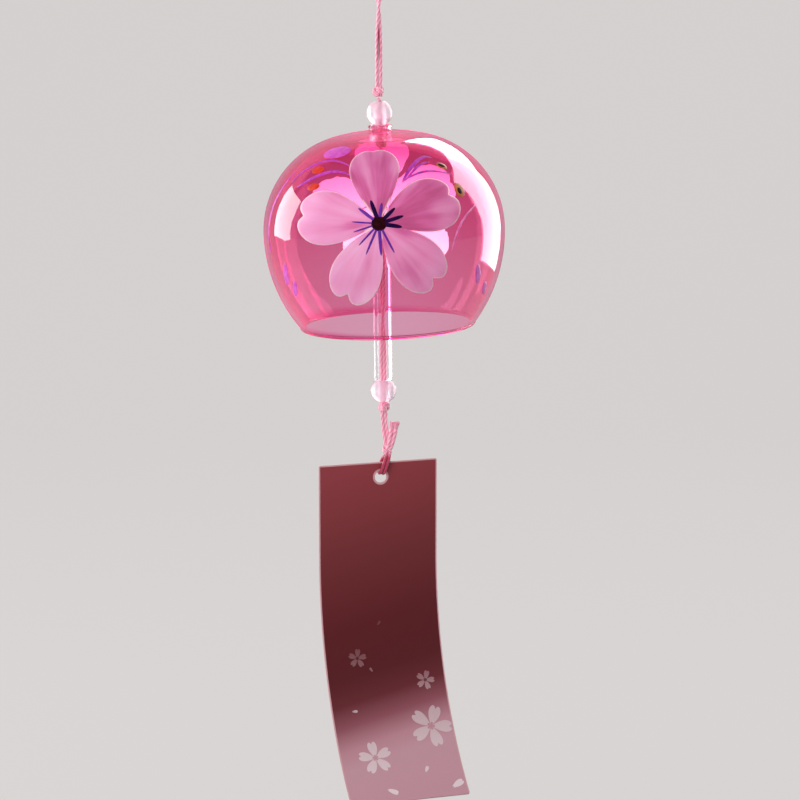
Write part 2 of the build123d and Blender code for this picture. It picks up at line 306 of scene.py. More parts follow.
def satin_with_painted_shade(name, spans, inner_side):
    """A copy of the satin with painted shade over spans of its length in mm, or only on its inner side there.
    """
    inner_limits = {"From Min": 0.24, "From Max": 0.16}
    material = satin.copy()
    material.name = name
    tree = material.node_tree
    shader = tree.nodes["Principled BSDF"]
    plain = shader.inputs["Base Color"].links[0].from_socket
    lay = add_node(tree, "UVMap", uv_map="lay")
    run = add_node(tree, "SeparateXYZ", {0: lay}).node.outputs
    painted_shade = 0
    for starts, full, fades, ends in spans:
        rising = add_node(tree, "MapRange", {"Value": run["X"], "From Min": starts, "From Max": full})
        falling = add_node(tree, "MapRange", {"Value": run["X"], "From Min": ends, "From Max": fades})
        span = add_node(tree, "Math", {0: rising, 1: falling}, operation="MULTIPLY")
        painted_shade = add_node(tree, "Math", {0: span, 1: painted_shade}, operation="MAXIMUM")
    if inner_side:
        turned = add_node(tree, "Math", {0: run["Y"], 1: 0.5}, operation="SUBTRACT")
        from_inside = add_node(tree, "Math", {0: turned}, operation="ABSOLUTE")
        inside = add_node(tree, "MapRange", {"Value": from_inside, **inner_limits})
        painted_shade = add_node(tree, "Math", {0: painted_shade, 1: inside}, operation="MULTIPLY")
    # painted shade: the spans, or their inner side, turn a deeper red that stands in for shadow there
    colours = {"Factor": painted_shade, "A": plain, "B": linear("#b23a58")}
    join(shader, Base_Color=add_node(tree, "Mix", colours, "Result", data_type="RGBA"))
    return material


# painted shade on the strip's loop, and between the two strands of the hanging cord
loop_shaded_satin = satin_with_painted_shade("loop_painted_shade_satin", [(13.5, 16.5, 28.5, 31.0)], inner_side=False)
inner_spans = [(8.0, 11.0, 18.0, 21.0), (70.0, 73.0, 80.0, 83.0)]
between_strands_shaded_satin = satin_with_painted_shade("doubled_cord_painted_shade_satin", inner_spans, inner_side=True)
print("satin: one ply every", round(ply_pitch_mm / ply_count, 2), "mm")

# %% [markdown]
# ## The hanging cord
#
# The cord is used doubled. It leaves the upper knot as two strands, crosses itself once, and opens into the
# eye that goes over a hook. It is one smooth spline that a few points control, and one half of its route is
# the other turned half round. The skin is wound round the points that Blender reads from the spline.


# %% Routes and the hanging cord
def spline_points(points, steps=12):
    """The points of the NURBS spline of order 3 that these points control."""
    curve = bpy.data.curves.new("route", "CURVE")
    curve.dimensions = "3D"
    curve.resolution_u = steps
    spline = curve.splines.new("NURBS")
    spline.points.add(len(points) - 1)
    spline.points.foreach_set("co", np.column_stack([points, np.ones(len(points))]).ravel())
    spline.order_u = 3
    spline.use_endpoint_u = True
    route = bpy.data.objects.new("route", curve)
    mesh = bpy.data.meshes.new_from_object(route)
    read = np.zeros(len(mesh.vertices) * 3)
    mesh.vertices.foreach_get("co", read)
    bpy.data.meshes.remove(mesh)
    bpy.data.curves.remove(curve)
    return read.reshape(-1, 3)


cord_radius = 0.55 * mm
strand_offset = 0.6 * mm
half_route_mm = [(-0.6, 0, -42.6), (-0.62, 0, -33.36), (-0.58, 0, -25.437), (-0.15, -0.56, -18.5)]
half_route_mm += [(0.15, -0.54, -14.0), (3.7, 0, -6.6), (2.85, 0, 0.55)]
half_route = np.array(half_route_mm) * mm
half_turn = np.array([-1, -1, 1])
hanging_path = spline_points(np.concatenate([half_route, half_route[::-1] * half_turn]))
front_to_back = np.array([0, 1.0, 0])
hanging_shell = tube_shell(hanging_path, cord_radius, front_to_back)
hanging_cord = make_piece(
    "hanging_cord", [hanging_shell], between_strands_shaded_satin, "cord_loop", ["hanging_loop"]
)

# %% [markdown]
# ## The strip's cord
#
# Below the clapper the cord runs on, still doubled: down to the tie knot, behind the strip, through its hole,
# up in front to the knot again, and out of it as two cut ends. The two strands lie side by side, each on a
# route of its own. Rayon frays where it is cut, so each end opens in a tuft.

# %% The strip's cord
swing_point = np.array(joints["strip_swing"]["pos_m"])
across = np.array(joints["strip_flap"]["axis"])
to_front = np.cross(across, up)
flap_above_hole = 1.13 * mm
hole_centre = np.array(joints["strip_flap"]["pos_m"]) - flap_above_hole * up
tie_point = swing_point + np.array([1.15, 0, -12.3]) * mm


def beside_hole(x, y, z):
    """Points near the strip's hole: x across the strip, y up it and z out of its front, in mm."""
    x, y, z = (np.asarray(part, float)[..., None] for part in (x, y, z))
    return hole_centre + (x * across + y * up + z * to_front) * mm


def strip_cord_route(side):
    """One strand's route from the lower knot to its cut end. side is -1 or 1.

    A row is a place, how far apart the strands are there as a share of their offset, and a shift in mm.
    """
    aside, rest_radius = 0.2, 1.3
    shift = side * strand_offset / mm
    foot = np.sqrt(rest_radius**2 - (aside + shift) ** 2)
    offset = np.array([side * strand_offset, 0, 0])
    halfway = (swing_point + tie_point) / 2
    down = [(swing_point, 1, (0, 0, 0.6)), (swing_point, 1, (0, 0, -0.65)), (halfway, 0.95, (-0.25, 0, 0.47))]
    down += [(tie_point, 1, (0, 0, 1.6)), (tie_point, 0.8, (0, 0, 0))]
    out = [(tie_point, 0.8, (0.2, -0.6, 0)), (tie_point, 1, (1.0, -1.25, 1.4))]
    out += [(tie_point, 1.1, (1.75, -1.45, 5.4)), (tie_point, 1.2, (2.45, -1.7, 9.6))]
    behind = [(2.45, 7.0, -0.6), (1.325, 4.9, -1.8), (aside, foot, -1.15)]
    in_front = [(x, y, -z) for x, y, z in behind[::-1]]
    through = [beside_hole(x + shift, y, z) for x, y, z in behind + in_front]
    before, after = (
        [near + apart * offset + np.array(by) * mm for near, apart, by in rows] for rows in (down, out)
    )
    return np.array([*before, *through, *after])


def tuft_shells(path, tuft_length, fibre_count):
    """The loose fibres of a cut end: round the path at r_k (cos a_k, sin a_k), opening towards the end."""
    along = run_along(path)
    at = np.linspace(along[-1] - tuft_length, along[-1], 12)
    middle = np.stack([np.interp(at, along, path[:, axis]) for axis in range(3)], -1)
    side, lift = path_frame(middle, at, across)
    bound_mm, opening_mm = 0.42, 0.5
    opened = bound_mm + opening_mm * ((at - at[0]) / tuft_length) ** 1.3
    fibre_radius = 0.19 * mm
    golden_turn = 2.4
    shells = []
    for number in range(fibre_count):
        angle = number * golden_turn
        spread = opened * np.sqrt((number + 0.5) / fibre_count) * mm
        ragged = number * 5 % 3
        offset = spread[:, None] * (cos(angle) * side + sin(angle) * lift)
        fibre = (middle + offset)[: len(at) - ragged]
        shells.append(tube_shell(fibre, fibre_radius, across, sides=7))
    return shells


strip_paths = [spline_points(strip_cord_route(side)) for side in (-1, 1)]
tuft_length = 3.2 * mm
bound_share = 0.75
swelling_length = 4 * mm
most_swollen = 0.34
tuft_fibres = 17
strands = []
for path in strip_paths:
    to_end = run_along(path)[-1] - run_along(path)
    swell = 1 + most_swollen * np.clip(1 - (to_end - tuft_length) / swelling_length, 0, 1)
    kept = to_end > tuft_length * bound_share
    strands.append(tube_shell(path[kept], (cord_radius * swell)[kept], across))
    strands += tuft_shells(path, tuft_length, tuft_fibres)
strip_nodes = ["strip_strands", "strip_loop", "cord_tails"]
strip_cord = make_piece("strip_cord", strands, loop_shaded_satin, "strip_tie", strip_nodes)

# %% [markdown]
# ## Strands inside the beads and the tube
#
# The two strands run straight through the beads, the bush and the tube. Hung cord turns about itself a
# little, so each pair is a slow double helix: offset (cos a, sin a) from the middle line, with a growing
# along it. It shows through the clear tube as a pink ribbon that turns. Where the cord bends under a knot,
# one strand is behind the other, so that both ends stay close to the knot while they swing.


# %% Strands inside the beads and the tube
def strand_pair(top, bottom, turns, steps=60):
    """Two strands wound round a straight middle line, half a turn apart: middle + offset (cos a, sin a).

    The angle a starts at a quarter turn, so that one strand is behind the other.
    """
    share = np.linspace(0, 1, steps)
    middle = top + share[:, None] * (bottom - top)
    side = unit(np.cross(bottom - top, front_to_back))
    lift = unit(np.cross(bottom - top, side))
    angle = 2 * pi * turns * share + pi / 2
    offset = strand_offset * (np.cos(angle)[:, None] * side + np.sin(angle)[:, None] * lift)
    return [tube_shell(middle + sign * offset, pressed_radius, lift) for sign in (-1, 1)]


bell_up = np.array(joints["clapper_turn"]["axis"])
clapper_up = np.array(joints["tube_lift"]["axis"])
bell_hang = np.array(joints["bell_swing"]["pos_m"])
clapper_hang = np.array(joints["clapper_swing"]["pos_m"])
pressed_radius = 0.528 * mm
knot_height = 3.4 * mm
over_swing = 0.05 * mm
over_knot = knot_height + 0.15 * mm
bead_ends = (bell_hang + over_swing * bell_up, clapper_hang + over_knot * bell_up)
make_piece("bead_cord", strand_pair(*bead_ends, 0.5), satin, "bell", ["bead_strands"])
tube_ends = (clapper_hang + over_swing * clapper_up, swing_point + over_knot * clapper_up)
tube_pair = strand_pair(*tube_ends, 1.5, steps=160)
make_piece("clapper_cord", tube_pair, satin, "clapper_cord", ["clapper_strands"])

# %% [markdown]
# ## Knots
#
# Each knot is an overhand knot pulled tight. Its two strands follow the curve that topologists call the
# trefoil: x = sin t + 2 sin 2t, y = cos t - 2 cos 2t, z = sin 3t. Squeezed to the knot's real width and
# height, and drawn in at its top and bottom, it gives the crossing turns that the eye expects.


# %% Knots
def knot_shells(centre, axis, width, height, turn):
    """Two closed tubes along a trefoil of the knot's size, one above the other along the axis."""
    right = np.array([axis[2], 0, -axis[0]])
    t = np.linspace(0, 2 * pi, 121)
    strand = 0.46 * mm
    gap = 0.4 * mm
    most_drawn_in = 0.3
    size = (width / 2 - strand) / 3
    rise = height / 2 - strand - gap
    depth = np.cross(axis, right)
    x = np.sin(t) + 2 * np.sin(2 * t)
    y = np.cos(t) - 2 * np.cos(2 * t)
    drawn_in = 1 - most_drawn_in * np.sin(3 * t) ** 2
    sideways = drawn_in * (x * cos(turn) - y * sin(turn))
    inwards = drawn_in * (x * sin(turn) + y * cos(turn))
    flat = sideways[:, None] * right + inwards[:, None] * depth
    shells = []
    for sign in (-1, 1):
        path = centre + size * flat + (rise * np.sin(3 * t) + sign * gap)[:, None] * axis
        shells.append(tube_shell(path, strand, axis, sides=12))
    return shells


knot_clearance = 0.1 * mm
knot_middle = knot_height / 2 + knot_clearance
upper_place = np.array(joints["cord_twist"]["pos_m"])
bell_knot_place = clapper_hang + knot_middle * bell_up
lower_place = swing_point + knot_middle * clapper_up
knot_rows = {
    "upper_knot": ("cord_knot", upper_place, up, 4.2, 3.4, 0.4),
    "bell_knot": ("clapper_knot", bell_knot_place, bell_up, 4.1, 3.4, 1.2),
    "lower_knot": ("strip_knot", lower_place, clapper_up, 4.2, 3.4, 2.0),
    "tie_knot": ("strip_tie", tie_point, up, 3.6, 3.1, 2.9),
}
for node, (body, centre, axis, width, height, turn) in knot_rows.items():
    shells = knot_shells(centre, axis, width * mm, height * mm, turn)
    make_piece(f"wound_{node}", shells, satin, body, [node])

# %% [markdown]
# ## Pink glass
#
# The bell is soda-lime glass, dyed in the melt and blown into a ball, and its cut mouth is melted round. Its
# colour grows with the light's way through it, so the crown and the edges that turn away are deepest. A faint
# unevenness is left from blowing. A shadow ray is let through with the glass's tint, as thin glass lets a
# lamp's light through, so that the paint and the cord inside stay lit.

# %% Pink glass material
blown_wave_mm = 22.0
blown_relief = 1.0 * mm
mouth_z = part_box("glass_bell")[0].z
neck_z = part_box("glass_bell")[1].z


def any_ray(tree, first, *others):
    """1 for a ray of one of these kinds, and 0 for every other ray."""
    rays = add_node(tree, "LightPath").node.outputs
    seen = rays[f"Is {first} Ray"]
    for kind in others:
        seen = add_node(tree, "Math", {0: seen, 1: rays[f"Is {kind} Ray"]}, operation="MAXIMUM")
    return seen


def let_shadows_through(tree, shader, tint):
    """Mix in a transparent shader for shadow rays only, so that lamps shine through the glass."""
    clear = add_node(tree, "BsdfTransparent", {"Color": linear(tint)})
    shaders = {0: any_ray(tree, "Shadow"), 1: shader.outputs[0], 2: clear}
    join(tree.nodes["Material Output"], Surface=add_node(tree, "MixShader", shaders))


def finish_node(node, material):
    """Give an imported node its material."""
    nodes[node].data.materials.clear()
    nodes[node].data.materials.append(material)


pink_glass, tree, shader = new_material(
    "dyed_blown_glass", Roughness=0.0, IOR=1.5, Transmission_Weight=1.0,
    Sheen_Weight=1.0, Sheen_Roughness=0.3, Sheen_Tint=linear("#ff2f8e"),
)
rise, _, _ = height_share(tree, mouth_z, neck_z)
depth = add_node(tree, "ValToRGB", {"Fac": rise})
lip_stops = [(0, "#f55fae"), (0.025, "#f55fae"), (0.05, "#fbbedb")]
set_stops(depth, lip_stops + [(0.35, "#f8aed0"), (0.75, "#f088ba"), (0.92, "#e768a4"), (1, "#fbdcea")])
facing = add_node(tree, "LayerWeight", {"Blend": 0.32}, "Facing")
colours = {"Factor": facing, "A": depth, "B": linear("#ef2a86")}
edged = add_node(tree, "Mix", colours, "Result", data_type="RGBA")
wave = grain_at(tree, blown_wave_mm, 1.0)
relief = add_node(tree, "Bump", {"Height": wave, "Strength": 0.1, "Distance": blown_relief})
join(shader, Base_Color=edged, Normal=relief)
let_shadows_through(tree, shader, "#f9d3e2")
finish_node("glass_bell", pink_glass)
print("bell from z", round(mouth_z / mm, 1), "to", round(neck_z / mm, 1), "mm")

# %% [markdown]
# ## Clear glass, frosted beads and the bush
#
# The clapper is a length of clear borosilicate tube with fire-polished ends. The beads are pressed glass that
# was tumbled or etched, so they scatter the light and glow. The bush is a clear moulded plastic, and a touch
# of pink is painted into its colour: a painted tint for the pink light from the glass round it.

# %% Clear glass, frosted beads and bush
clear_glass, tree, shader = new_material(
    "borosilicate_tube", Roughness=0.02, IOR=1.49, Transmission_Weight=1.0, Base_Color=linear("#fffafd")
)
let_shadows_through(tree, shader, "#f8f2f6")
finish_node("glass_tube", clear_glass)

frost_mm = 0.5
cloud_mm = 2.0
frost_relief = 0.05 * mm
glow_depth = 1.5 * mm
frosted, tree, shader = new_material(
    "etched_glass", Roughness=0.38, IOR=1.45, Transmission_Weight=0.68, Subsurface_Weight=0.6,
    Subsurface_Radius=(1.0, 0.85, 0.92), Subsurface_Scale=glow_depth,
)
milk = add_node(tree, "ValToRGB", {"Fac": grain_at(tree, cloud_mm, 3.0)})
set_stops(milk, [(0.3, "#efe2ea"), (0.7, "#f5eff4")])
frost = grain_at(tree, frost_mm)
relief = add_node(tree, "Bump", {"Height": frost, "Strength": 0.2, "Distance": frost_relief})
join(shader, Base_Color=milk, Normal=relief)
let_shadows_through(tree, shader, "#e8cdd8")
for bead in ("upper_bead", "lower_bead"):
    finish_node(bead, frosted)

flow_mm = 3.0
flow_relief = 0.1 * mm
# the pink in the bush's colour is painted light from the glass round it
clear_plastic, tree, shader = new_material(
    "clear_styrene", Roughness=0.12, IOR=1.55, Transmission_Weight=0.9, Base_Color=linear("#fdeaf3")
)
flow = grain_at(tree, flow_mm, 1.0)
relief = add_node(tree, "Bump", {"Height": flow, "Strength": 0.15, "Distance": flow_relief})
join(shader, Normal=relief)
let_shadows_through(tree, shader, "#f6dde8")
finish_node("neck_stopper", clear_plastic)
print("frost", frost_mm, "mm, flow", flow_mm, "mm")

# %% [markdown]
# ## Finding a place on the glass
#
# Each stroke lies on the outside of the bell. Seen from the middle of the ball, a place on the glass is a
# direction: the glass is where that ray meets one of the three arcs of its profile, the flat crown, the round
# shoulder or the skirt. For an arc of radius q about the centre c, the way along the unit ray d is
# d.c + sqrt((d.c)^2 - c.c + q^2).

# %% Places on the glass
apex_drop = 10.6
bell_diameter = 78.0
crown_height = 32.3
shoulder_radius = 31.3
skirt_radius = 50.0
shoulder_x = bell_diameter / 2 - shoulder_radius
skirt_x = bell_diameter / 2 - skirt_radius
crown_radius = (shoulder_x**2 + crown_height**2 - shoulder_radius**2) / (2 * (crown_height - shoulder_radius))
crown_y = crown_height - crown_radius
arcs = [((0, crown_y), crown_radius), ((shoulder_x, 0), shoulder_radius), ((skirt_x, 0), skirt_radius)]
crown_slope = np.arctan2(-crown_y, shoulder_x)
crown_edge = (shoulder_x + shoulder_radius * np.cos(crown_slope), shoulder_radius * np.sin(crown_slope))
arc_change = np.arctan2(crown_edge[1], crown_edge[0])
ball_centre = bell_hang - (apex_drop + crown_height) * mm * bell_up
bell_axes = np.array([(bell_up[2], 0, -bell_up[0]), -front_to_back, bell_up])


def glass_reach(elevation):
    """How far the glass is from the ball's middle, in mm, at an elevation in radians."""
    ray = np.stack([np.cos(elevation), np.sin(elevation)], -1)
    along = [ray @ np.array(centre, float) for centre, _ in arcs]
    crown, shoulder, skirt = [
        way + np.sqrt(np.maximum(way**2 - np.dot(centre, centre) + radius**2, 0))
        for way, (centre, radius) in zip(along, arcs)
    ]
    return np.where(elevation > arc_change, crown, np.where(elevation > 0, shoulder, skirt))


def on_glass(directions, lift_mm):
    """The points of the outer glass in these directions, raised by lift_mm."""
    directions = unit(directions)
    elevation = np.arctan2(directions[..., 2], np.hypot(directions[..., 0], directions[..., 1]))
    reach = (glass_reach(elevation) + lift_mm)[..., None] * mm
    return ball_centre + reach * (directions @ bell_axes)


def toward(azimuth, elevation):
    """The direction at an azimuth from the front towards the right, and an elevation, in degrees."""
    azimuth, elevation = np.radians(azimuth), np.radians(elevation)
    flat = np.stack([np.sin(azimuth), np.cos(azimuth)], -1) * np.cos(elevation)[..., None]
    return np.concatenate([flat, np.sin(elevation)[..., None]], -1)


def about(centre, distance_mm, angle):
    """Directions at a distance over the glass from a centre, at angles in radians from the right, upwards."""
    upward = unit(np.array([0, 0, 1]) - centre * centre[2])
    rightward = np.cross(centre, upward)
    swing = distance_mm / (bell_diameter / 2)
    heading = np.cos(angle)[..., None] * rightward + np.sin(angle)[..., None] * upward
    return np.cos(swing)[..., None] * centre + np.sin(swing)[..., None] * heading


print("crown radius", round(crown_radius, 2), "mm, joined at", round(np.degrees(arc_change), 1), "degrees")

# %% [markdown]
# ## Enamel paints
#
# The paints are enamels, a little raised, and some light passes through the front petals. A petal is laid
# with a loaded brush: deep pink near the middle, paler towards the tip, with streaks along the stroke and a
# pale outline. The streaks follow the petal's own UV. Three marks on its points give the rest: their distance
# from the petal's edge in millimetres draws the outline, a tone sets each petal apart, and the third is 1 on
# the sheet against the glass. There the back blossom has a painted glow, an emission that stands in for the
# light from behind that comes through thin paint.

# %% Enamel materials
outline_mm = 0.6
outline_full_mm = 0.2
base_tone = -0.42
painted_glow_strength = 5.6
petal_paint, tree, shader = new_material(
    "petal_enamel", Roughness=0.45, IOR=1.35, Transmission_Weight=0.3, Coat_Weight=0.15, Coat_Roughness=0.2
)
lay = add_node(tree, "UVMap", uv_map="lay")
along = add_node(tree, "SeparateXYZ", {0: lay}, "Y")
own_tone = add_node(tree, "Attribute", output="Fac", attribute_name="tone")
streaks = noise_on(tree, lay, (8.0, 1.3, 1.0), 3.0)
clouds = noise_on(tree, lay, (2.2, 2.0, 1.0), 1.0)
tone = base_tone
for source, weight in ((own_tone, 0.5), (along, 0.22), (clouds, 0.75), (streaks, 0.5)):
    tone = add_node(tree, "Math", {0: source, 1: weight, 2: tone}, operation="MULTIPLY_ADD")
wash = add_node(tree, "ValToRGB", {"Fac": tone})
wash_stops = [(0.15, "#b9508a"), (0.36, "#d3639b"), (0.45, "#e274b2"), (0.62, "#f39ed0")]
set_stops(wash, wash_stops + [(0.8, "#f9b4e0"), (1, "#ffd0ee")])
from_edge = add_node(tree, "Attribute", output="Fac", attribute_name="edge_mm")
rim_limits = {"From Min": outline_mm, "From Max": outline_full_mm}
rim = add_node(tree, "MapRange", {"Value": from_edge, **rim_limits})
colours = {"Factor": rim, "A": wash, "B": linear("#f6dfe2")}
join(shader, Base_Color=add_node(tree, "Mix", colours, "Result", data_type="RGBA"))

# The back blossom's copy has no transmission and a painted glow: an emission on its glass side, in place of
# real light through the paint.
painted_glow_paint = petal_paint.copy()
painted_glow_paint.name = "painted_glow_petal_enamel"
tree = painted_glow_paint.node_tree
shader = tree.nodes["Principled BSDF"]
shader.inputs["Transmission Weight"].default_value = 0
shader.inputs["Emission Color"].default_value = linear("#a4ffcc")
painted_glow_side = add_node(tree, "Attribute", output="Fac", attribute_name="painted_glow_side")
painted_glow = add_node(tree, "Math", {0: painted_glow_side, 1: painted_glow_strength}, operation="MULTIPLY")
join(shader, Emission_Strength=painted_glow)


def flat_enamel(name, dark, light, gloss=0.3):
    """A brushed enamel of one hue: its thin places are a little lighter than its thick ones."""
    pool_mm = 1.5
    gloss_values = {"Coat_Weight": gloss, "Coat_Roughness": 0.15, "Specular_IOR_Level": gloss}
    paint, tree, shader = new_material(f"{name}_enamel", Roughness=0.5, **gloss_values)
    colour = add_node(tree, "ValToRGB", {"Fac": grain_at(tree, pool_mm)})
    set_stops(colour, [(0.3, dark), (0.7, light)])
    join(shader, Base_Color=colour)
    return paint


violet = flat_enamel("violet", "#551a8c", "#7026a6")
plum = flat_enamel("plum", "#9c1e98", "#d046c0")
dark_violet = flat_enamel("dark_violet", "#12042a", "#2a0848", gloss=0.05)
lilac = flat_enamel("lilac", "#c83cb0", "#dc62ca")
rose = flat_enamel("rose", "#e05fa6", "#ee86c0")
vermilion = flat_enamel("vermilion", "#be1a0e", "#de3a1c")
ochre = flat_enamel("ochre", "#8a3a06", "#cc6a0e")
maroon = flat_enamel("maroon", "#120104", "#34040e", gloss=0.05)
print("outline", outline_mm, "mm wide")

# %% [markdown]
# ## Blossoms
#
# A cherry blossom has five petals, 72 degrees apart, each with a notch in its tip. Measured from the middle
# of the flower, the edge of a petal of length L is r = L (1 - v^2)^p, where v runs from -1 to 1 across it,
# less a notch that fades as exp(-|v / w|^1.3). No two of the painter's petals are quite alike, so each has
# its own numbers. The same blossom is painted on the front and on the back.


# %% Petals
enamel_mm = 0.17
furrow_mm = 0.05
edge_fade_mm = 0.3
ground_mm = 0.012
foot_mm = 1.0
notch_degrees = 4.2


def petal_shell(centre, heading, length, spread, power, notch, lean, tone, lift):
    """A petal on the glass, and its points' marks: mm from its edge, its tone, and 1 at the glass."""
    v = np.linspace(-0.985, 0.985, 61)
    fade = np.exp(-(np.abs(v * spread / notch_degrees) ** 1.3))
    edge = length * (1 - lean * v) * (1 - v**2) ** power - notch * fade
    out = np.linspace(0, 1, 34)[:, None] ** 0.8
    distance = foot_mm + out * (edge - foot_mm)
    angle = np.radians(heading + v * spread) + 0 * distance
    flat = np.stack([distance * np.cos(angle), distance * np.sin(angle)], -1)
    rim = np.concatenate([flat[-1], flat[:, 0], flat[:, -1]])
    to_edge = np.linalg.norm(flat[:, :, None] - rim, axis=-1).min(-1)
    furrow = furrow_mm * np.cos(3 * pi * v) * out**2
    swell = (enamel_mm + furrow) * (1 - np.exp(-to_edge / edge_fade_mm))
    directions = about(centre, distance, angle)
    uv = np.stack([(v + 1) / 2 + 3 * tone + 0 * distance, distance / length], -1)
    shell = slab_shell(on_glass(directions, lift + ground_mm + swell), on_glass(directions, lift), uv)
    # 1 on the sheet at the glass: where the back blossom's painted glow goes
    painted_glow_side = np.repeat([0.0, 1.0], to_edge.size)
    return shell, np.concatenate([to_edge.ravel()] * 2), np.full(2 * to_edge.size, tone), painted_glow_side


petal_step = 72
# a row is a petal's heading, length in mm, half width in degrees, power p, notch in mm, lean and tone
front_petals = [(94, 29.4, 30.5, 0.33, 1.4, 0, 0.3), (171, 29.6, 37, 0.52, 3.2, 0, 0.68)]
front_petals += [(243, 29.0, 34, 0.5, 3.9, 0, 0.95), (313, 28.7, 36, 0.52, 3.9, 0, 0.6)]
front_petals += [(22, 28.6, 37, 0.45, 3.0, 0.12, 0.22)]
back_petals = [(90, 33.0, 32, 0.3, 2.4, 0, 0.3), (163, 28.5, 36, 0.5, 2.6, 0, 0.45)]
back_petals += [(228, 31.0, 34, 0.5, 3.4, 0, 0.5), (300, 25.0, 31, 0.5, 3.0, 0, 0.35)]
back_petals += [(5, 28.0, 34, 0.5, 2.8, 0, 0.2)]
flowers = {
    "front": (toward(-1.7, 10.4), front_petals, petal_paint),
    "back": (toward(180, 10), back_petals, painted_glow_paint),
}
for side, (centre, petals, paint) in flowers.items():
    made = [petal_shell(centre, *petal, 0.01 + 0.03 * layer) for layer, petal in enumerate(petals)]
    shells, edges, tones, inner = zip(*made)
    marks = {"edge_mm": edges, "tone": tones, "painted_glow_side": inner}
    make_piece(f"{side}_petals", shells, paint, "bell", marks=marks)


# %% [markdown]
# ## Stamens, vines and dots
#
# Stamens and vines are single brush strokes: a path over the glass with a width that swells and ends in
# a point, and a crown across it. Dots are dabs of a loaded brush, domed in the same way.


# %% Strokes and dabs
def four_point_curve(points, share):
    """The cubic that passes four points at 0, 1/3, 2/3 and 1: its powers solve one set of equations."""
    places = np.arange(4) / 3
    return np.vander(share, 4) @ np.linalg.solve(np.vander(places, 4), points)


def stroke_shell(directions, widths, height, lift):
    """A raised stroke: the path's directions, moved sideways by v times the width, under a crown.

    The crown is sqrt(1 - s v^2). As s is a little less than 1, the stroke's sides have some height too.
    """
    s = 0.96
    v = np.linspace(-1, 1, 9)
    heading = unit(np.gradient(directions, axis=0))
    sideways = unit(np.cross(heading, directions))
    spread = (widths / bell_diameter)[:, None, None] * v[:, None] * sideways[:, None]
    grid = unit(directions[:, None] + spread)
    crown = height * np.sqrt(1 - s * v**2) * np.minimum(widths / widths.max() * 2, 1)[:, None]
    uv = np.stack(np.meshgrid(np.linspace(0, 1, len(widths)), v, indexing="ij"), -1)
    return slab_shell(on_glass(grid, lift + crown), on_glass(grid, lift), uv)


def dab_shell(centre, long, short, turn, height, lift):
    """An oval dab: r runs out to 1 and a goes round, and its dome is sqrt(1 - s r^2), as a stroke's is."""
    s = 0.97
    r = np.linspace(0.02, 1, 10)[:, None]
    a = np.linspace(0, 2 * pi, 33)[None]
    x, y = long * r * np.cos(a), short * r * np.sin(a)
    distance, angle = np.hypot(x, y), np.arctan2(y, x) + radians(turn)
    grid = about(centre, distance, angle)
    dome = height * np.sqrt(1 - s * r**2) + 0 * a
    uv = np.stack([r + 0 * a, a / (2 * pi) + 0 * r], -1)
    return slab_shell(on_glass(grid, lift + dome), on_glass(grid, lift), uv)


over_petals = 0.3
on_bare_glass = 0.012
stamen_height = 0.14
vine_height = 0.12
vine_tip = 0.12
stamen_tip = 0.04
root_mm = 1.2
# a row is a stamen's heading, its length and its width in mm
dark_stamens = [(108, 7.9, 1.3), (-10, 7.2, 1.3), (16, 8.0, 1.2), (43, 7.0, 1.2)]
violet_stamens = [(141, 8.2, 1.0), (174, 8.6, 0.5), (196, 8.4, 0.5), (225, 9.2, 0.6)]
violet_stamens += [(245, 10.4, 0.7), (272, 9.9, 1.0), (296, 10.2, 0.7), (81, 6.6, 1.0)]
stamen_sets = {"dark": (dark_violet, dark_stamens), "violet": (violet, violet_stamens)}
for side, (centre, _, _) in flowers.items():
    for name, (paint, rows) in stamen_sets.items():
        shells = []
        for angle, length, width in rows:
            reach = np.linspace(root_mm, length, 24)
            share = (reach - root_mm) / (length - root_mm)
            widths = width * np.sqrt(np.clip(1 + stamen_tip - share**5, 0, 1))
            stroke = about(centre, reach, np.full(24, radians(angle)))
            shells.append(stroke_shell(stroke, widths, stamen_height, over_petals))
        make_piece(f"{side}_{name}_stamens", shells, paint, "bell")
    eye = dab_shell(centre, 2.4, 2.35, 0, 0.3, over_petals)
    make_piece(f"{side}_flower_eye", [eye], maroon, "bell")

# a row is four points, each an azimuth and an elevation in degrees, and the vine's width in mm
plum_vines = [
    ([(-19.5, 40.2), (-39.2, 43.8), (-53.0, 37.6), (-59.3, 29.2)], 0.9),
    ([(-18.0, 34.9), (-32.5, 36.7), (-44.1, 32.1), (-52.4, 27.2)], 1.1),
    ([(11.7, 30.0), (18.5, 37.8), (28.0, 43.6), (37.0, 43.2)], 1.2),
    ([(12.8, 30.5), (19.5, 35.9), (26.0, 39.6), (33.0, 40.6)], 0.8),
    ([(13.3, 31.2), (22.7, 34.6), (32.5, 34.9), (43.3, 31.8)], 0.8),
    ([(-63.0, 35.0), (-68.5, 21.0), (-70.5, 7.0), (-68.0, -7.0)], 1.2),
]
rose_vines = [([(52.1, 15.1), (43.2, 10.8), (37.0, 4.6), (33.0, -4.5)], 0.6)]
for name, paint, vines in (("plum_vines", plum, plum_vines), ("rose_vine", rose, rose_vines)):
    shells = []
    for points, width in vines:
        share = np.linspace(0, 1, 48)
        azimuth, elevation = four_point_curve(points, share).T
        widths = width * (vine_tip + np.sin(pi * share).clip(0) ** 0.5)
        shells.append(stroke_shell(toward(azimuth, elevation), widths, vine_height, on_bare_glass))
    make_piece(name, shells, paint, "bell")

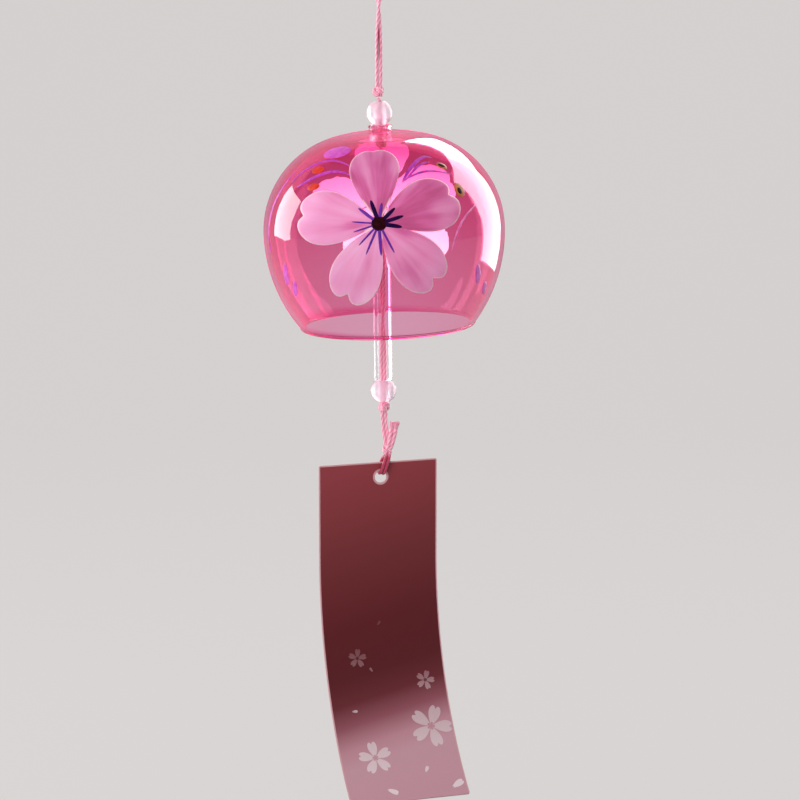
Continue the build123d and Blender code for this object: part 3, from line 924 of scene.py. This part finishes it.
# a row is a dot's azimuth and elevation, its half length and half width in mm, and its turn
lilac_rows = [(-37.8, 51.0, 5.2, 3.6, 12), (-56.1, -15.3, 3.8, 1.4, 78), (-51.2, -21.8, 3.0, 1.1, 66)]
lilac_rows += [(51.4, -17.8, 3.4, 1.3, 106), (61.0, -26.0, 2.8, 1.2, 118)]
dots = {
    "lilac_dots": (lilac, 0.12, lilac_rows),
    "vermilion_dots": (vermilion, 0.16, [(-42.5, 37.6, 2.5, 1.5, 10), (-39.7, 28.0, 2.4, 1.3, 12)]),
    "ochre_dots": (ochre, 0.12, [(40.3, 37.4, 2.0, 1.3, -35), (43.8, 23.1, 2.0, 2.4, 0)]),
    "dark_dots": (maroon, 0.2, [(40.3, 37.6, 1.4, 0.8, -35), (43.6, 22.8, 1.0, 1.3, 0)]),
}
for name, (paint, height, rows) in dots.items():
    shells = [dab_shell(toward(*row[:2]), *row[2:], height, on_bare_glass) for row in rows]
    make_piece(name, shells, paint, "bell")

# %% [markdown]
# ## The printed strip
#
# The strip is thin coated card, with a colour gradient that follows its height, with a slight slant: dark
# rose in the middle, a little lighter at the top and pale rose at the bottom. The gradient is partly the
# print's own and partly painted light: the lower part curls forward to face up, and it is painted paler for
# that. The print stops a hair short of the cut edges and of the punched hole, so a pale line runs along them.
# It is found from the distances to the hole, to the middle of the strip and to its top.

# %% Printed card
strip_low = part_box("strip")[0].z
strip_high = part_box("strip")[1].z
strip_half_width = 20.3 * mm
hole_radius = 2.0 * mm
hole_side = 0.85 * mm
border = 0.45 * mm
hole_border = 0.72 * mm
soft_edge = 0.1 * mm
gradient_slant = 1.9
paper_mm = 0.35
paper_relief = 0.02 * mm


def uneven(tree, colour, grain, spread):
    """A colour times 1 - spread to 1 + spread, as the grain goes from 0 to 1."""
    limits = {"To Min": 1 - spread, "To Max": 1 + spread}
    factor = add_node(tree, "MapRange", {"Value": grain, **limits})
    return add_node(tree, "VectorMath", {0: colour, 1: factor}, operation="MULTIPLY")


card_gloss = {"Coat_Weight": 0.04, "Coat_Roughness": 0.3, "Specular_IOR_Level": 0.25}
card, tree, shader = new_material("coated_card", Roughness=0.5, **card_gloss)
rise, height, place = height_share(tree, strip_low, strip_high)
from_hole = add_node(tree, "VectorMath", {0: place, 1: tuple(hole_centre)}, operation="SUBTRACT")
sideways = add_node(tree, "VectorMath", {0: from_hole, 1: tuple(across)}, "Value", operation="DOT_PRODUCT")
slanted = add_node(tree, "Math", {0: sideways, 1: -gradient_slant, 2: rise}, operation="MULTIPLY_ADD")
# the print's rose and painted light together: the curled lower part is painted paler, as the light falls
# there
gradient = add_node(tree, "ValToRGB", {"Fac": slanted})
print_and_light_stops = [(0, "#bf8f9b"), (0.12, "#c0939e"), (0.17, "#b7848f"), (0.23, "#8b4f5a"), (0.29, "#64292f")]
set_stops(gradient, print_and_light_stops + [(0.36, "#561d22"), (0.5, "#5a1c21"), (0.72, "#702b2f"), (1, "#8e3b42")])
paper = grain_at(tree, paper_mm, 3.0)
printed_and_lit_colour = uneven(tree, gradient, paper, 0.05)
hole_gap = add_node(tree, "VectorMath", {0: from_hole}, "Value", operation="LENGTH")
centred = add_node(tree, "Math", {0: sideways, 1: hole_side}, operation="ADD")
side_gap = add_node(tree, "Math", {0: centred}, operation="ABSOLUTE")
bare = 0
for gap, start, end in (
    (side_gap, strip_half_width - border, strip_half_width - border + soft_edge),
    (height, strip_high - border, strip_high - border + soft_edge),
    (hole_gap, hole_radius + hole_border, hole_radius + hole_border - soft_edge),
):
    here = add_node(tree, "MapRange", {"Value": gap, "From Min": start, "From Max": end})
    bare = add_node(tree, "Math", {0: here, 1: bare}, operation="MAXIMUM")
colours = {"Factor": bare, "A": printed_and_lit_colour, "B": linear("#c79a9e")}
cut = add_node(tree, "Mix", colours, "Result", data_type="RGBA")
relief = add_node(tree, "Bump", {"Height": paper, "Strength": 0.08, "Distance": paper_relief})
join(shader, Base_Color=cut, Normal=relief)
finish_node("strip", card)
print("strip from z", round(strip_low / mm, 1), "to", round(strip_high / mm, 1), "mm")

# %% [markdown]
# ## Blossoms on the strip
#
# The print is a drift of blossoms and loose petals in pale ink, faint at the top and clearer below. Each is
# a very thin layer on the card. A place on it is given as on the flat card, in millimetres across it and down
# it, and the lower part is then rolled to its radius.

# %% Places on the strip and its print
strip_straight = 31.0
strip_bend_radius = 99.0
hole_drop = 4.9
half_sheet_mm = 0.25
ink_mm = 0.03
bond_mm = 0.004
ink_grain_mm = 0.5
edge_kept_mm = 0.1
notch_width = 0.14


def on_strip(x, down, lift_mm):
    """A point of the card's front, x across and down along it in mm, raised by lift_mm."""
    turned = np.maximum(down - strip_straight, 0) / strip_bend_radius
    face_radius = strip_bend_radius - half_sheet_mm - lift_mm
    out = strip_bend_radius - face_radius * np.cos(turned)
    drop = np.minimum(down, strip_straight) + face_radius * np.sin(turned)
    return beside_hole(x - hole_side / mm, hole_drop - drop, out)


def printed_petal(x, down, heading, length, spread, notch):
    """A petal of ink on the card, with the same edge as a painted one, from its foot at (x, down)."""
    v = np.linspace(-0.97, 0.97, 31)
    edge = length * ((1 - v**2) ** 0.5 - notch * np.exp(-(np.abs(v / notch_width) ** 1.3)))
    out = np.linspace(0.2, 1, 9)[:, None]
    angle = np.radians(heading + v * spread)
    widest = strip_half_width / mm - edge_kept_mm
    flat_x = np.clip(x + out * edge * np.cos(angle), -widest, widest)
    flat_down = down - out * edge * np.sin(angle)
    uv = np.stack([v + 0 * out, out + 0 * v], -1)
    return slab_shell(on_strip(flat_x, flat_down, ink_mm), on_strip(flat_x, flat_down, bond_mm), uv)


ink, tree, shader = new_material("pale_ink", Roughness=0.5, Specular_IOR_Level=0.25)
rise, _, _ = height_share(tree, strip_low, strip_high)
faded = add_node(tree, "ValToRGB", {"Fac": rise})
ink_stops = [(0, "#e2d2d6"), (0.08, "#d8c3c8"), (0.15, "#cfb8bd"), (0.24, "#c0a4a9"), (0.33, "#90666b")]
set_stops(faded, ink_stops + [(0.42, "#74474b"), (0.6, "#6a3439")])
join(shader, Base_Color=uneven(tree, faded, grain_at(tree, ink_grain_mm), 0.07))

# each blossom: x, down, petal length and turn; each loose petal: x, down, length and heading
printed_blossoms = [(12.6, 89.5, 7.6, -24), (-9.2, 64.8, 3.3, -8), (13.2, 73.9, 3.4, -20)]
printed_blossoms += [(-8.4, 98.6, 6.0, 6)]
loose_petals = [(-1.4, 54.6, 1.9, 50), (-4.4, 69.8, 1.9, 120), (-13.6, 82.2, 2.2, 0)]
loose_petals += [(7.2, 105.6, 2.8, 60), (-7.3, 109.9, 4.4, -28), (14.6, 112.0, 5.4, 28)]
shells = []
for x, down, size, turn in printed_blossoms:
    headings = [90 + turn + petal * petal_step for petal in range(5)]
    shells += [printed_petal(x, down, heading, size, 31, 0.2) for heading in headings]
shells += [printed_petal(x, down, heading, size, 24, 0.1) for x, down, size, heading in loose_petals]
make_piece("strip_print", shells, ink, "wind_strip")

# %% [markdown]
# ## Stage and light
#
# The bell hangs over a pale floor that sweeps up into a pale backdrop, so that there is no hard horizon. The
# lamps are close and would burn the floor out, so the camera, also through glass, sees mostly an even tone of
# it, and a small share of its real light. Glass is lit by what it mirrors: a tall softbox to the right and
# behind draws the long crescent, and a small window on the left draws the short one.

# %% Floor and backdrop
floor_z = -0.42
sweep_radius = 0.9
backdrop_y = 2.2
backdrop_height = 3.0
stage_half_width = 4.0
stage_front = -3.0
even_share = 0.88
curve = np.linspace(0, pi / 2, 25)
sweep_y = backdrop_y - sweep_radius + sweep_radius * np.sin(curve)
sweep_z = floor_z + sweep_radius * (1 - np.cos(curve))
profile_y = np.concatenate([[stage_front], sweep_y, [backdrop_y]])[:, None]
profile_z = np.concatenate([[floor_z], sweep_z, [floor_z + backdrop_height]])[:, None]
sides = np.array([-stage_half_width, stage_half_width])[None]
stage_points = np.stack(np.broadcast_arrays(sides, profile_y, profile_z), -1)
corners = grid_corners(len(profile_y), 2)
stage_mesh = bpy.data.meshes.new("floor")
stage_mesh.from_pydata(stage_points.reshape(-1, 3).tolist(), [], (corners @ [2, 1]).tolist())
stage_mesh.shade_smooth()
floor = bpy.data.objects.new("floor", stage_mesh)
bpy.context.scene.collection.objects.link(floor)
paper_floor, tree, shader = new_material("pale_paper", Roughness=0.9, Base_Color=linear("#c4c1c1"))
seen = any_ray(tree, "Camera", "Glossy", "Transmission")
even = add_node(tree, "Math", {0: seen, 1: even_share}, operation="MULTIPLY")
even_tone = add_node(tree, "Emission", {"Color": linear("#d6d2d1"), "Strength": 1.0})
seen_floor = add_node(tree, "MixShader", {0: even, 1: shader.outputs[0], 2: even_tone})
join(tree.nodes["Material Output"], Surface=seen_floor)
stage_mesh.materials.append(paper_floor)
print("floor at z", floor_z, "m")

# %% Lamps
def area_lamp(name, azimuth, elevation, distance, size, power, target=ball_centre, seen=True, lights=True):
    """A soft lamp aimed at a target: azimuth 0 is the camera's side, 90 the right; sizes in m, power in W.

    A lamp that is seen shows in what mirrors it. One that doesn't light surfaces also shows through glass.
    """
    azimuth, elevation = radians(azimuth), radians(elevation)
    lamp = bpy.data.objects.new(name, bpy.data.lights.new(name, "AREA"))
    lamp.data.shape = "RECTANGLE"
    lamp.data.size, lamp.data.size_y = size
    lamp.data.energy = power
    flat = np.array([sin(azimuth), -cos(azimuth), 0]) * cos(elevation)
    lamp.location = target + distance * (flat + sin(elevation) * up)
    lamp.rotation_euler = (pi / 2 - elevation, 0, azimuth)
    lamp.visible_camera = False
    lamp.visible_transmission = not lights
    lamp.visible_glossy = seen
    lamp.visible_diffuse = lights
    bpy.context.scene.collection.objects.link(lamp)


on_backdrop = np.array([0, 2.0, 0.1])
area_lamp("right_softbox", 126, 12, 1.0, (0.72, 1.2), 16, lights=False)
area_lamp("top_softbox", 158, 30, 1.0, (0.46, 0.36), 4, lights=False)
area_lamp("right_fill", 126, 12, 1.0, (0.72, 1.2), 7, seen=False)
area_lamp("left_window", -112, 9, 1.0, (0.5, 0.56), 7)
area_lamp("front_fill", -25, 30, 1.6, (1.2, 1.2), 22, seen=False)
area_lamp("backdrop_wash", 0, 25, 1.6, (2.4, 1.6), 24, on_backdrop, seen=False)

world = bpy.data.worlds.new("room")
bpy.context.scene.world = world
world.use_nodes = True
tree = world.node_tree
room_light = add_node(tree, "Background", {"Color": linear("#bdb9ba"), "Strength": 0.5})
seen_room = add_node(tree, "Background", {"Color": linear("#cfcbca"), "Strength": 1.0})
rooms = {0: any_ray(tree, "Camera", "Transmission"), 1: room_light, 2: seen_room}
join(tree.nodes["World Output"], Surface=add_node(tree, "MixShader", rooms))
print("lamps", [lamp.name for lamp in bpy.data.lights])
